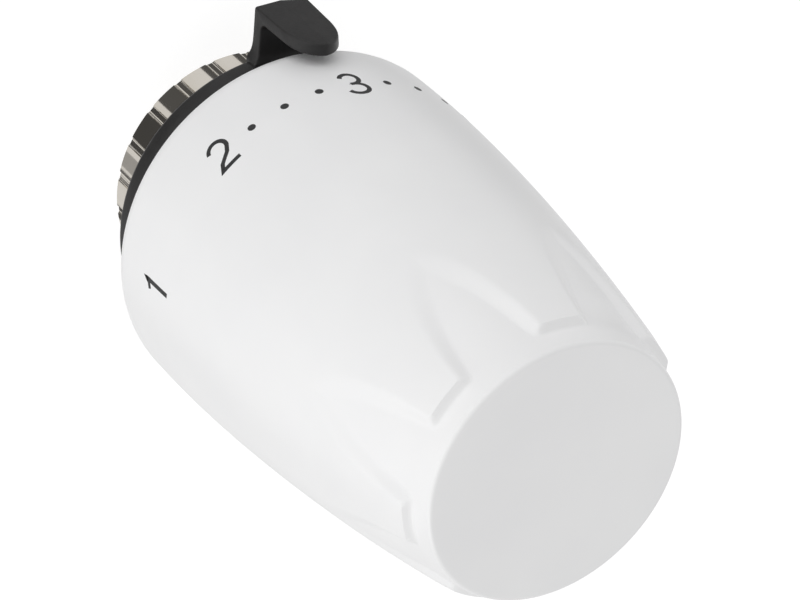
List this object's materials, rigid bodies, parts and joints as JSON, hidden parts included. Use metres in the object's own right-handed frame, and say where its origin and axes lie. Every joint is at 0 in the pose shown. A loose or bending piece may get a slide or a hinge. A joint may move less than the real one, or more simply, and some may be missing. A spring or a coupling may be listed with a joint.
{
  "type": "thermostatic radiator valve head",
  "caption": "Thermostatic radiator valve head: white tapered handgrip with thumb recesses and a numbered scale, dark index ring with pointer, fluted union nut and liquid-filled sensor.",
  "frame": {"origin": "centre of the union nut's mouth plane, the side that screws onto the valve", "axes": "+Z along the head's axis from the valve to the front face, +X towards the setting pointer"},
  "size_m": [0.0539, 0.05, 0.0804],
  "materials": {
    "white_plastic": "satin gloss",
    "dark_plastic": "satin",
    "natural_plastic": "moulded",
    "red_plastic": "moulded",
    "nickel_plate": "bright nickel plate",
    "spring_steel": "drawn",
    "steel": "ground",
    "brass": "turned",
    "bellows_bronze": "rolled",
    "capsule_metal": "drawn",
    "seal_rubber": "matt"
  },
  "bodies": {
    "head_base": {"base_housing": "dark_plastic", "index_ring": "dark_plastic", "limit_clips": "red_plastic", "friction_ring": "seal_rubber", "guide_bush": "natural_plastic", "seat_ring": "brass", "nut_snap_ring": "spring_steel", "sleeve_retaining_ring": "spring_steel"},
    "coupling_nut": {"union_nut": "nickel_plate"},
    "handgrip": {"handgrip_shell": "white_plastic", "drive_sleeve": "natural_plastic"},
    "sensor_unit": {"sensor_carrier": "natural_plastic", "sensor_capsule": "capsule_metal", "capsule_base_plate": "brass", "bellows": "bellows_bronze", "filling_tube": "bellows_bronze", "sensor_retaining_ring": "spring_steel"},
    "rod": {"thrust_rod": "steel", "spring_seat_washer": "brass", "overrun_spring": "spring_steel"},
    "plunger": {"thrust_cup": "natural_plastic", "cup_retaining_ring": "spring_steel"}
  },
  "joints": [
    {"name": "union_nut_spin", "type": "hinge", "parent": "head_base", "child": "coupling_nut", "pos_m": [0, 0, 0.011], "axis": [0, 0, 1], "continuous": true},
    {"name": "grip_turn", "type": "hinge", "parent": "head_base", "child": "handgrip", "pos_m": [0, 0, 0.03], "axis": [0, 0, 1], "range_deg": [-178, 92]},
    {"name": "setpoint_travel", "type": "slide", "parent": "head_base", "child": "sensor_unit", "axis": [0, 0, 1], "range_m": [-0.00346, 0.00179]},
    {"name": "sensor_stroke", "type": "slide", "parent": "sensor_unit", "child": "rod", "axis": [0, 0, -1], "range_m": [0, 0.003], "stiffness_N_per_m": 3000, "deforming": ["bellows"]},
    {"name": "overrun_travel", "type": "slide", "parent": "rod", "child": "plunger", "axis": [0, 0, 1], "range_m": [0, 0.003], "stiffness_N_per_m": 12000, "deforming": ["overrun_spring"]}
  ],
  "couplings": [
    {"joint": "grip_turn", "follows": "setpoint_travel", "rad_per_m": 897.6}
  ]
}
